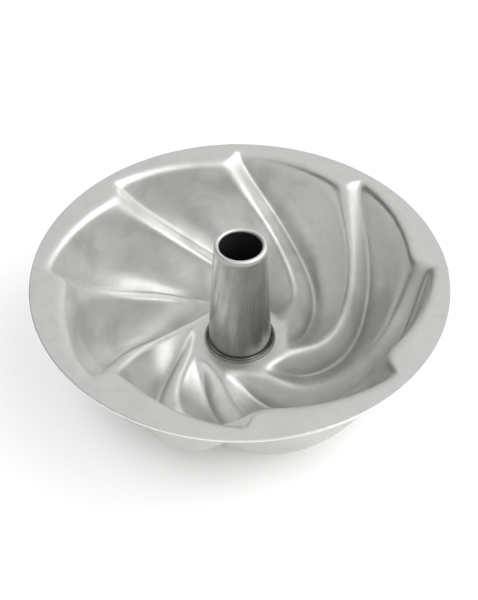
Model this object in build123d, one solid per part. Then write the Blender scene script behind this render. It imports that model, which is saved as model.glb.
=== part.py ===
from build123d import *
from math import cos, exp, floor, hypot, pi, radians, sin
import os

# A swirl-fluted bundt pan: one aluminium casting and the open tube seamed into its middle.
# Millimetres. +Z is up, the Z axis is the tube's axis and the lowest lobes stand on z = 0.

# ---- driving dimensions ----
RIM_RADIUS = 130.0        # to the outside of the flat rim
WALL = 2.0                # thickness of the casting at the rim, at the ring and behind the crests
VALLEY_WALL = 5.0         # and at its thickest, behind the valleys half way down
TUBE_WALL = 1.2
FLUTES = 8
PITCH = 360 / FLUTES      # degrees from one flute to the next
RIM_Z = 86.0              # top of the flat rim
RING_Z = RIM_Z - 64.0     # top of the flat ring that the tube is seamed into
RING_RADIUS = 32.0        # where the flutes run into the ring
EDGE_RADIUS = 0.7         # the rim's plain edge is rounded above and below

TUBE_TOP = RIM_Z + 19.8
TUBE_TOP_RADIUS = 16.4
TUBE_FOOT_RADIUS = 21.0   # also the hole in the ring
LIP_RADIUS = 1.5          # the rounded lip, rolled inwards
BEAD_RADIUS = 23.8        # the bead at the tube's foot
SEAM_RADIUS = 24.5        # the lip rolled out under the ring

# ---- the folds that bound a flute ----
# Each flute has one ridge (crest) and one trough (valley). Both lines start at the flat rim and swirl
# clockwise down to the ring. A point is (radius, depth below the rim, degrees clockwise), and the points
# of the two lines stand opposite each other across the fold.
VALLEY_POINTS = [
    (120.0, 0.0, -1.4),
    (111.5, 24.8, 6.0),
    (103.6, 46.2, 15.4),
    (93.2, 62.4, 25.6),
    (81.5, 74.1, 38.4),
    (68.8, 81.2, 50.5),
    (55.5, 82.7, 61.3),
    (42.6, 77.8, 75.8),
    (RING_RADIUS, RIM_Z - RING_Z, 92.0),
]
CREST_POINTS = [
    (107.0, 0.0, -5.0),
    (97.0, 23.5, 3.0),
    (87.2, 43.0, 14.0),
    (75.8, 56.5, 24.6),
    (64.2, 64.0, 36.4),
    (53.6, 66.3, 46.2),
    (44.2, 64.8, 53.5),
    (37.0, 64.0, 61.0),
    (RING_RADIUS, RIM_Z - RING_Z, 67.0),
]
CREST_REACH = 14.0        # how far the broad rounding of a crest reaches into the flute
EDGE_REACH = 6.0          # and how far it reaches down the step, where it is tighter
VALLEY_REACH = 10.0       # the rounding of a valley, both ways
RIM_ROUND = 2.8           # spacing of the flat control rows outside the corner of rim and wall
RING_ROUND = 2.2          # and of those inside the corner of flutes and ring
SCOOP = 0.10              # how far a flute is hollowed, as a share of its width
SCOOP_START = 28.0        # depth over which the hollow builds up below the rim
SCOOP_END = 6.0           # and distance over which it dies out towards the ring
HEART = (62.0, 10.0)      # radius and depth that the flutes are hollowed away from
STATIONS = 18             # control rows between the two, closer together towards the ends
SAMPLES = 4               # points taken from each span of the smooth surface
TINY = 1e-4


def place(p):
    """The point in space of (radius, depth, clockwise degrees)."""
    turn = radians(-p.Z)
    return Vector(p.X * cos(turn), p.X * sin(turn), RIM_Z - p.Y)


def fold_line(points):
    """A fold line as control points, close together near its ends. The two corners themselves are left
    out, so that the surface cuts them with a round stretch, and three flat points lie beyond each."""
    steps = [i / (len(points) - 1) for i in range(len(points))]
    line = Edge.make_spline([Vector(*p) for p in points], parameters=steps)
    down = []
    for i in range(1, STATIONS):
        even = i / STATIONS
        graded = 0.15 * even + 0.85 * (1 - cos(pi * even)) / 2
        down.append(line.position_at(graded, position_mode=PositionMode.PARAMETER))
    flat_rim = [line @ 0 + Vector(RIM_ROUND * i, 0, 0) for i in (3, 2, 1)]
    flat_ring = [line @ 1 - Vector(RING_ROUND * i, 0, 0) for i in (1, 2, 3)]
    return flat_rim + down + flat_ring


def near(corner, other, reach):
    """Where the rounding of a corner starts on the way to another point."""
    share = reach / ((place(other) - place(corner)).length + 2 * reach)
    return corner + (other - corner) * share


def hollow(valley, crest, t):
    """A control point in the hollow of a flute, t of the way from its valley to the next crest."""
    flat = valley + (crest - valley) * t
    width = (place(crest) - place(valley)).length
    fade = (1 - exp(-(flat.Y / SCOOP_START) ** 2)) * (1 - exp(-max(flat.X - RING_RADIUS, 0) / SCOOP_END))
    push = SCOOP * width * fade * sin(pi * t ** 0.8)
    out, down = flat.X - HEART[0], flat.Y - HEART[1]
    return flat + Vector(out, down, 0) * (push / hypot(out, down))


def across_fold(crest, valley):
    """Control points across one fold: mid-flute, the rounded crest, the step face, the valley."""
    pitch = Vector(0, 0, PITCH)
    into_crest = hollow(valley - pitch, crest, 0.75)
    out_of_valley = hollow(valley, crest + pitch, 0.25)
    return [
        hollow(valley - pitch, crest, 0.5),
        into_crest,
        near(crest, into_crest, CREST_REACH),
        near(crest, valley, EDGE_REACH),
        near(valley, crest, VALLEY_REACH),
        valley,
        near(valley, out_of_valley, VALLEY_REACH),
        out_of_valley,
    ]


NET = [across_fold(c, v) for c, v in zip(fold_line(CREST_POINTS), fold_line(VALLEY_POINTS))]
SPANS_ACROSS = len(NET[0])
SPANS_DOWN = len(NET) - 3
VALLEY_COLUMN = 5         # where across_fold puts the valley itself


def weights(t):
    """The four weights of a uniform cubic spline."""
    return [(1 - t) ** 3 / 6, (3 * t ** 3 - 6 * t ** 2 + 4) / 6, (1 + 3 * t * (1 + t - t * t)) / 6, t ** 3 / 6]


def net_point(row, column):
    """The net goes on round the pan: after one flute's columns come the same ones, a pitch further."""
    turns, column = divmod(column, SPANS_ACROSS)
    return NET[row][column] + Vector(0, 0, PITCH * turns)


def food_point(u, v):
    """The food side. u counts spans across the fold from mid-flute, v counts spans down from the rim."""
    column = floor(u)
    row = min(floor(v), SPANS_DOWN - 1)
    total = Vector(0, 0, 0)
    for j, down in enumerate(weights(v - row)):
        for i, across in enumerate(weights(u - column)):
            total += net_point(row + j, column + i - 1) * (down * across)
    return place(total)


def wall(u, v):
    """Wall thickness: the casting is heavier behind the valleys, most of all half way down."""
    behind_valley = ((1 + cos(2 * pi * (u - VALLEY_COLUMN) / SPANS_ACROSS)) / 2) ** 2
    half_way = sin(pi * v / SPANS_DOWN)
    return WALL + (VALLEY_WALL - WALL) * behind_valley * half_way


def outer_point(u, v):
    """The same point on the underside, one wall thickness away along the normal."""
    here = food_point(u, v)
    if v in (0, SPANS_DOWN):
        return here - Vector(0, 0, WALL)
    across = food_point(u + TINY, v) - food_point(u - TINY, v)
    down = food_point(u, v + TINY) - food_point(u, v - TINY)
    return here + across.cross(down).normalized() * wall(u, v)


def flute_face(point):
    rows = [
        [point(i / SAMPLES, j / SAMPLES) for i in range(SAMPLES * SPANS_ACROSS + 1)]
        for j in range(SAMPLES * SPANS_DOWN + 1)
    ]
    return Face.make_surface_from_array_of_points(rows, tol=0.01, min_deg=3, max_deg=3)


def all_round(face):
    return [face.rotate(Axis.Z, -i * PITCH) for i in range(FLUTES)]


def level_wire(faces, z):
    """The closed line in which the flutes meet the level z."""
    edges = [e for f in faces for e in f.edges() if abs(e.bounding_box().min.Z - z) < 0.01]
    edges = [e for e in edges if e.bounding_box().size.Z < 0.01]
    return Wire(edges)


def level_circle(radius, z):
    return Wire(Edge.make_circle(radius, Plane.XY.offset(z)))


def pan_body():
    food = all_round(flute_face(food_point))
    under = all_round(flute_face(outer_point))
    edge_circle = RIM_RADIUS - EDGE_RADIUS
    low = RIM_Z - WALL
    bulge = EDGE_RADIUS * cos(radians(45))
    upper_round = Edge.make_three_point_arc(
        Vector(edge_circle, 0, RIM_Z),
        Vector(edge_circle + bulge, 0, RIM_Z - EDGE_RADIUS + bulge),
        Vector(RIM_RADIUS, 0, RIM_Z - EDGE_RADIUS),
    )
    lower_round = Edge.make_three_point_arc(
        Vector(RIM_RADIUS, 0, low + EDGE_RADIUS),
        Vector(edge_circle + bulge, 0, low + EDGE_RADIUS - bulge),
        Vector(edge_circle, 0, low),
    )
    edge_face = Edge.make_line(upper_round @ 1, lower_round @ 0)
    hole_wall = Edge.make_line(
        Vector(TUBE_FOOT_RADIUS, 0, RING_Z),
        Vector(TUBE_FOOT_RADIUS, 0, RING_Z - WALL),
    )
    faces = food + under + [
        Face(level_circle(edge_circle, RIM_Z), [level_wire(food, RIM_Z)]),
        Face(level_circle(edge_circle, low), [level_wire(under, low)]),
        Face(level_wire(food, RING_Z), [level_circle(TUBE_FOOT_RADIUS, RING_Z)]),
        Face(level_wire(under, RING_Z - WALL), [level_circle(TUBE_FOOT_RADIUS, RING_Z - WALL)]),
        Face.revolve(upper_round, 360, Axis.Z),
        Face.revolve(edge_face, 360, Axis.Z),
        Face.revolve(lower_round, 360, Axis.Z),
        Face.revolve(hole_wall, 360, Axis.Z),
    ]
    return Solid(Shell(faces))


def centre_tube():
    lip_middle = TUBE_TOP_RADIUS - LIP_RADIUS
    lip_z = TUBE_TOP - LIP_RADIUS
    inner_top = TUBE_TOP_RADIUS - TUBE_WALL + 0.1
    inner_foot = TUBE_FOOT_RADIUS - TUBE_WALL
    groove_z = RING_Z + 1.2
    seam_top = RING_Z - WALL
    seam_low = seam_top - TUBE_WALL
    half = TUBE_WALL / 2
    outline = [
        Line((TUBE_FOOT_RADIUS, RING_Z + 1.8), (TUBE_TOP_RADIUS, lip_z)),
        ThreePointArc((TUBE_TOP_RADIUS, lip_z), (lip_middle, TUBE_TOP), (lip_middle - LIP_RADIUS, lip_z)),
        RadiusArc((lip_middle - LIP_RADIUS, lip_z), (lip_middle, lip_z - LIP_RADIUS), -LIP_RADIUS),
        Line((lip_middle, lip_z - LIP_RADIUS), (inner_top, lip_z - LIP_RADIUS)),
        Line((inner_top, lip_z - LIP_RADIUS), (inner_foot, seam_low + half)),
        RadiusArc((inner_foot, seam_low + half), (inner_foot + half, seam_low), -half),
        Line((inner_foot + half, seam_low), (SEAM_RADIUS - half, seam_low)),
        ThreePointArc(
            (SEAM_RADIUS - half, seam_low),
            (SEAM_RADIUS, seam_low + half),
            (SEAM_RADIUS - half, seam_top),
        ),
        Line((SEAM_RADIUS - half, seam_top), (TUBE_FOOT_RADIUS, seam_top)),
        Line((TUBE_FOOT_RADIUS, seam_top), (TUBE_FOOT_RADIUS, RING_Z)),
        Line((TUBE_FOOT_RADIUS, RING_Z), (BEAD_RADIUS, RING_Z)),
        Line((BEAD_RADIUS, RING_Z), (BEAD_RADIUS, RING_Z + 0.8)),
        ThreePointArc(
            (BEAD_RADIUS, RING_Z + 0.8),
            (BEAD_RADIUS - 1.1, RING_Z + 1.9),
            (BEAD_RADIUS - 2.2, groove_z),
        ),
        Line((BEAD_RADIUS - 2.2, groove_z), (TUBE_FOOT_RADIUS, RING_Z + 1.8)),
    ]
    profile = Plane.XZ * make_face(outline)
    return revolve(profile, Axis.Z)


pieces = {"pan_body": pan_body(), "centre_tube": centre_tube()}
lowest = pieces["pan_body"].bounding_box().min.Z
os.makedirs("parts", exist_ok=True)
for name, shape in pieces.items():
    standing = shape.translate(Vector(0, 0, -lowest))
    standing.label = name
    export_step(standing, f"parts/{name}.step")
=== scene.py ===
import math

import bpy
from mathutils import Matrix, Vector


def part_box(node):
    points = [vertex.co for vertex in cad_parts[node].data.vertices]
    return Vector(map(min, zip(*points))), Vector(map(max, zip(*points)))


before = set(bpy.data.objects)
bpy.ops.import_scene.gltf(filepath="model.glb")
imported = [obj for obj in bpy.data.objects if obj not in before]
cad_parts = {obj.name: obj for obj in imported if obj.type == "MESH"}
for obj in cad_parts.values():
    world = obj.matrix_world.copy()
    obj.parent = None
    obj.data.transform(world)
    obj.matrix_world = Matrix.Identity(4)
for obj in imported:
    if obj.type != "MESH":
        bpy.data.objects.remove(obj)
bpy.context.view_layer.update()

# The looks of a swirl-fluted bundt pan: satin cast aluminium with a brushed centre tube, on a pale floor.
# Everything is in metres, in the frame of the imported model.

MM = 0.001
BODY_LOW, BODY_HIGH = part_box("pan_body")
TUBE_LOW, TUBE_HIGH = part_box("centre_tube")
RIM_RADIUS = BODY_HIGH.x
RIM_TOP = BODY_HIGH.z
TUBE_TOP_RADIUS = 16.4 * MM           # outside, under the lip
TUBE_FOOT_RADIUS = 21 * MM            # outside, at the ring
STREAK_RADIUS = 18 * MM               # the brushing is laid out on a cylinder of about the tube's size
STREAK_STRETCH = 0.02                 # and stretched along it by the inverse of this
RING_TOP = RIM_TOP - 64 * MM          # the flat ring around the tube
PAINTED_SHADE_REACH = 16 * MM                      # how far the painted shade spreads out of the valleys

# ---- camera ----
LENS = 54.945                         # mm on a 36 mm sensor
ELEVATION = math.radians(43.94)
DISTANCE = 0.57066                    # from the middle of the rim
ROLL = math.radians(0.332)
SHIFT = (-0.0021, -0.0534)

# ---- light ----
ROOM_LIGHT = 0.58
WINDOW_LIGHT = 1.45                   # added to the room's where the window is
FLAG_DARKNESS = 0.9                   # share of the light that the flag takes away
BACKDROP = 0.92                       # what the camera sees of the room
FLOOR_GLOW = 0.45
WINDOW_AT = (76, 36)                  # azimuth and elevation, in degrees
WINDOW_EDGE = (0.74, 0.92)            # cosines of the angles where it starts and is full
FLAG_AT = (264, -10)
FLAG_EDGE = (0.36, 0.62)


# ---- small helpers for node materials ----
class Nodes:
    """Adds shader nodes to one material and links them."""

    def __init__(self, name):
        self.material = bpy.data.materials.new(name)
        self.material.use_nodes = True
        self.tree = self.material.node_tree
        self.shader = self.tree.nodes["Principled BSDF"]

    def add(self, kind, settings=(), **inputs):
        node = self.tree.nodes.new(kind)
        for key, value in dict(settings).items():
            setattr(node, key, value)
        for key, value in inputs.items():
            self.feed(node.inputs[key.replace("_", " ")], value)
        return node

    def feed(self, socket, value):
        if isinstance(value, bpy.types.NodeSocket):
            self.tree.links.new(value, socket)
        else:
            socket.default_value = value

    def math(self, operation, a, b=0.0):
        node = self.tree.nodes.new("ShaderNodeMath")
        node.operation = operation
        self.feed(node.inputs[0], a)
        self.feed(node.inputs[1], b)
        return node.outputs[0]

    def noise(self, where, size, detail=3.0, roughness=0.5, distortion=0.0):
        """Soft noise, 0 to 1, whose features are about size metres across."""
        node = self.add(
            "ShaderNodeTexNoise",
            Vector=where,
            Scale=1 / size,
            Detail=detail,
            Roughness=roughness,
            Distortion=distortion,
        )
        return node.outputs["Fac"]

    def span(self, value, low, high, to_low=0.0, to_high=1.0, straight=False):
        """value from low..high to to_low..to_high, held at the ends, smoothly or in a straight line."""
        kind = "LINEAR" if straight else "SMOOTHSTEP"
        node = self.add("ShaderNodeMapRange", {"interpolation_type": kind}, Value=value)
        node.inputs["From Min"].default_value = low
        node.inputs["From Max"].default_value = high
        node.inputs["To Min"].default_value = to_low
        node.inputs["To Max"].default_value = to_high
        return node.outputs[0]

    def blend(self, share, first, second):
        """first where share is 0, second where it is 1; both are colours."""
        node = self.tree.nodes.new("ShaderNodeMix")
        node.data_type = "RGBA"
        self.feed(node.inputs["Factor"], share)
        self.feed(node.inputs[6], first)
        self.feed(node.inputs[7], second)
        return node.outputs[2]

    def bump(self, height, distance, under=None):
        node = self.add("ShaderNodeBump", Height=height, Distance=distance, Strength=1.0)
        if under is not None:
            self.feed(node.inputs["Normal"], under)
        return node.outputs[0]


def grey(value, warmth=0.0):
    """A grey, with a little less blue the warmer it is."""
    return (value, value, value - warmth, 1.0)


def cast_aluminium():
    """Satin aluminium: a fine grain, an uneven skin, cloudy stains, painted shade in the valleys and
    recesses, and painted shade on faces turned sideways or down.
    """
    n = Nodes("cast_aluminium")
    where = n.add("ShaderNodeTexCoord").outputs["Object"]
    clouds = n.noise(where, 44 * MM, detail=3, roughness=0.5, distortion=0.3)
    mottle = n.noise(where, 7 * MM, detail=4, roughness=0.6)
    grain = n.noise(where, 0.7 * MM, detail=3, roughness=0.7)
    skin = n.noise(where, 11 * MM, detail=2, roughness=0.4)

    height = n.add("ShaderNodeSeparateXYZ", Vector=where).outputs[2]
    in_flutes = n.span(height, RIM_TOP - 4 * MM, RIM_TOP, 1.0, 0.3)
    stained = n.math("MULTIPLY", n.span(clouds, 0.44, 0.66), in_flutes)
    colour = n.blend(stained, grey(0.92, 0.015), grey(0.72, 0.02))
    speck = n.span(mottle, 0.45, 0.75, 0.0, 0.35)
    colour = n.blend(speck, colour, grey(0.77, 0.02))
    # painted shade: darker where ambient occlusion finds the surface hemmed in, in the valleys and recesses
    valley_occlusion = n.add("ShaderNodeAmbientOcclusion", {"samples": 12, "only_local": True}, Distance=PAINTED_SHADE_REACH)
    painted_valley_shade = n.span(valley_occlusion.outputs["AO"], 0.45, 0.90, 1.0, 0.0)
    colour = n.blend(painted_valley_shade, colour, grey(0.30, 0.015))
    # painted shade: darker where the surface faces sideways or down, most of all on the outside and
    # underside
    facing = n.add("ShaderNodeSeparateXYZ", Vector=n.add("ShaderNodeNewGeometry").outputs["Normal"])
    turned_down_shade = n.span(facing.outputs[2], -0.15, 0.05, 0.8, 0.0)
    colour = n.blend(turned_down_shade, colour, grey(0.52, 0.02))
    n.feed(n.shader.inputs["Base Color"], colour)
    n.shader.inputs["Metallic"].default_value = 0.9

    rough = n.math("ADD", n.span(clouds, 0.3, 0.7, 0.38, 0.48), n.span(grain, 0.3, 0.7, -0.03, 0.03))
    n.feed(n.shader.inputs["Roughness"], rough)

    uneven = n.bump(skin, 0.12 * MM)
    n.feed(n.shader.inputs["Normal"], n.bump(grain, 0.02 * MM, under=uneven))
    return n.material


def brushed_aluminium():
    """The tube: fine brushing along its length, painted shade darkening it towards its foot, a painted
    highlight on the lip and painted shade in the bore.
    """
    n = Nodes("brushed_aluminium")
    where = n.add("ShaderNodeTexCoord").outputs["Object"]
    parts = n.add("ShaderNodeSeparateXYZ", Vector=where)
    flat = n.add("ShaderNodeCombineXYZ", X=parts.outputs[0], Y=parts.outputs[1])
    outward = n.add("ShaderNodeVectorMath", {"operation": "NORMALIZE"}, Vector=flat.outputs[0])
    around = n.add("ShaderNodeSeparateXYZ", Vector=outward.outputs[0])
    streak = n.add(
        "ShaderNodeCombineXYZ",
        X=n.math("MULTIPLY", around.outputs[0], STREAK_RADIUS),
        Y=n.math("MULTIPLY", around.outputs[1], STREAK_RADIUS),
        Z=n.math("MULTIPLY", parts.outputs[2], STREAK_STRETCH),
    ).outputs[0]
    fine = n.noise(streak, 0.35 * MM, detail=3, roughness=0.7)
    broad = n.noise(streak, 2.2 * MM, detail=2)
    clouds = n.noise(where, 14 * MM, detail=3)

    dull = n.span(clouds, 0.35, 0.7)
    colour = n.blend(dull, grey(0.76, 0.015), grey(0.66, 0.02))
    colour = n.blend(n.span(broad, 0.4, 0.75, 0.0, 0.2), colour, grey(0.50, 0.02))
    # painted shade: the tube darkens towards its foot, nearly black just above the ring
    above_ring = n.math("SUBTRACT", parts.outputs[2], RING_TOP)
    colour = n.blend(n.span(above_ring, 10 * MM, 75 * MM, 0.85, 0.0), colour, grey(0.18, 0.01))

    # the tube tapers, so the bore is what lies well inside a cone along its outer face
    radius = n.add("ShaderNodeVectorMath", {"operation": "LENGTH"}, Vector=flat.outputs[0])
    cone = n.span(
        parts.outputs[2],
        TUBE_LOW.z,
        TUBE_HIGH.z,
        TUBE_FOOT_RADIUS,
        TUBE_TOP_RADIUS,
        straight=True,
    )
    depth = n.math("SUBTRACT", cone, radius.outputs["Value"])
    down = n.math("SUBTRACT", TUBE_HIGH.z, parts.outputs[2])
    # painted highlight: the top of the lip is painted nearly white
    lip = n.span(down, 2.5 * MM, 4.5 * MM, 1.0, 0.0)
    colour = n.blend(lip, colour, grey(0.94, 0.01))
    # painted shade: the bore, well inside the tube below the lip, is painted nearly black and made less
    # metallic
    bore = n.math("MULTIPLY", n.span(depth, 0.4 * MM, 0.8 * MM), n.span(down, 1.7 * MM, 2.6 * MM))
    colour = n.blend(bore, colour, grey(0.05, 0.002))
    n.feed(n.shader.inputs["Base Color"], colour)
    n.feed(n.shader.inputs["Metallic"], n.span(bore, 0.0, 1.0, 1.0, 0.3))
    brushed = n.span(fine, 0.3, 0.7, 0.22, 0.30)
    worn = n.span(n.math("MAXIMUM", bore, lip), 0.0, 1.0, 0.0, 0.3)
    n.feed(n.shader.inputs["Roughness"], n.math("ADD", brushed, worn))
    n.feed(n.shader.inputs["Normal"], n.bump(fine, 0.002 * MM))
    return n.material


def dress(node, material):
    """Gives every material slot of a CAD node this material."""
    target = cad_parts[node]
    for slot in target.material_slots:
        slot.material = material


dress("pan_body", cast_aluminium())
dress("centre_tube", brushed_aluminium())


# ---- floor, light and camera ----
def floor():
    """A pale sheet that glows a little, as a light table does, with a painted shadow: the glow fades out
    under the pan.
    """
    n = Nodes("floor_sheet")
    n.shader.inputs["Base Color"].default_value = grey(0.9)
    n.shader.inputs["Roughness"].default_value = 0.9
    n.shader.inputs["Specular IOR Level"].default_value = 0.1
    n.shader.inputs["Emission Color"].default_value = grey(1.0)
    parts = n.add("ShaderNodeSeparateXYZ", Vector=n.add("ShaderNodeTexCoord").outputs["Object"])
    across = n.math("MULTIPLY", parts.outputs[0], parts.outputs[0])
    deep = n.math("MULTIPLY", parts.outputs[1], parts.outputs[1])
    out = n.math("SQRT", n.math("ADD", across, deep))
    # painted shadow: no glow under the pan, fading in towards the rim
    glow_with_painted_shadow = n.span(out, 0.35 * RIM_RADIUS, 0.95 * RIM_RADIUS, 0.0, FLOOR_GLOW)
    n.feed(n.shader.inputs["Emission Strength"], glow_with_painted_shadow)
    reach = 20 * RIM_RADIUS
    corners = [(-reach, -reach, 0), (reach, -reach, 0), (reach, reach, 0), (-reach, reach, 0)]
    mesh = bpy.data.meshes.new("floor")
    mesh.from_pydata(corners, [], [(0, 1, 2, 3)])
    mesh.materials.append(n.material)
    sheet = bpy.data.objects.new("floor", mesh)
    bpy.context.scene.collection.objects.link(sheet)


def towards(azimuth, elevation):
    """A direction. Azimuth 0 is in front of the pan, 90 to its right."""
    turn, rise = math.radians(azimuth), math.radians(elevation)
    return Vector((math.sin(turn) * math.cos(rise), -math.cos(turn) * math.cos(rise), math.sin(rise)))


def glow(tree, aim, low, high):
    """0 to 1 over the sky: 1 near the direction aim, where the cosine passes high, and 0 past low."""
    where = tree.nodes.new("ShaderNodeTexCoord")
    side = tree.nodes.new("ShaderNodeVectorMath")
    side.operation = "DOT_PRODUCT"
    side.inputs[1].default_value = aim
    level = tree.nodes.new("ShaderNodeMapRange")
    level.interpolation_type = "SMOOTHSTEP"
    level.inputs["From Min"].default_value = low
    level.inputs["From Max"].default_value = high
    tree.links.new(where.outputs["Generated"], side.inputs[0])
    tree.links.new(side.outputs["Value"], level.inputs["Value"])
    return level.outputs[0]


def studio():
    """An even white room with a large window on the right and a black flag low on the left. The camera
    itself sees a plain pale backdrop."""
    world = bpy.data.worlds.new("studio")
    world.use_nodes = True
    tree = world.node_tree

    def math_node(operation, *inputs):
        node = tree.nodes.new("ShaderNodeMath")
        node.operation = operation
        for socket, value in zip(node.inputs, inputs):
            if isinstance(value, bpy.types.NodeSocket):
                tree.links.new(value, socket)
            else:
                socket.default_value = value
        return node.outputs[0]

    window = glow(tree, towards(*WINDOW_AT), *WINDOW_EDGE)
    flag = glow(tree, towards(*FLAG_AT), *FLAG_EDGE)
    room = math_node("MULTIPLY_ADD", window, WINDOW_LIGHT, ROOM_LIGHT)
    light = math_node("MULTIPLY", room, math_node("MULTIPLY_ADD", flag, -FLAG_DARKNESS, 1.0))
    seen = tree.nodes.new("ShaderNodeLightPath").outputs["Is Camera Ray"]
    backdrop = math_node("MULTIPLY", seen, BACKDROP)
    behind = math_node("MULTIPLY", light, math_node("SUBTRACT", 1.0, seen))
    sky = tree.nodes["Background"]
    sky.inputs["Color"].default_value = grey(1.0)
    tree.links.new(math_node("ADD", backdrop, behind), sky.inputs["Strength"])
    bpy.context.scene.world = world


def camera():
    """Looks at the rim's middle from in front and above, with a slight roll."""
    back = Vector((0, -math.cos(ELEVATION), math.sin(ELEVATION)))
    right = Vector((1, 0, 0))
    axes = Matrix((right, back.cross(right), back)).transposed().to_4x4()
    lens = bpy.data.cameras.new("camera")
    lens.sensor_width = 36
    lens.lens = LENS
    lens.shift_x, lens.shift_y = SHIFT
    eye = bpy.data.objects.new("camera", lens)
    stand = Matrix.Translation(Vector((0, 0, RIM_TOP)) + back * DISTANCE)
    eye.matrix_world = stand @ axes @ Matrix.Rotation(ROLL, 4, "Z")
    bpy.context.scene.collection.objects.link(eye)
    bpy.context.scene.camera = eye


floor()
studio()
camera()
bpy.context.scene.view_settings.view_transform = "Standard"
